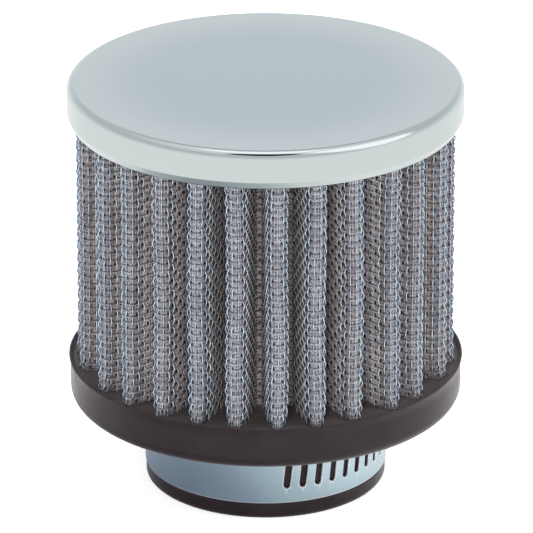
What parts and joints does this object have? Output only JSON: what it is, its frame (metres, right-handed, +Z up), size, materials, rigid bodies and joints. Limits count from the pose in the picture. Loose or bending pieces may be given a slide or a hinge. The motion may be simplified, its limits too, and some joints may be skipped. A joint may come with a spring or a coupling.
{
  "type": "crankcase breather filter",
  "caption": "Clamp-on crankcase breather filter: pleated gauze between wire screens, plated cap, rubber base with a neck, and a worm-drive clamp.",
  "frame": {"origin": "centre of the neck's open end, on the axis", "axes": "+Z up the axis from the neck to the cap, the clamp's screw housing on the +Y side"},
  "size_m": [0.0764, 0.0764, 0.0817],
  "materials": {
    "moulded_rubber": "satin moulded rubber",
    "wire_cloth": "woven aluminium wire",
    "cotton_gauze": "fine cotton gauze",
    "plated_steel": "bright plated steel",
    "clamp_steel": "rolled stainless steel",
    "screw_steel": "zinc plated steel"
  },
  "bodies": {
    "filter": {"base_boot": "moulded_rubber", "outer_screen": "wire_cloth", "filter_gauze": "cotton_gauze", "inner_screen": "wire_cloth", "top_seal": "moulded_rubber", "top_cap": "plated_steel", "clamp_band": "clamp_steel", "clamp_housing": "clamp_steel"},
    "screw": {"clamp_screw": "screw_steel"}
  },
  "joints": [
    {"name": "clamp_screw_turn", "type": "hinge", "parent": "filter", "child": "screw", "pos_m": [0, 0.02905, 0.00975], "axis": [-1, 0, 0], "continuous": true}
  ]
}
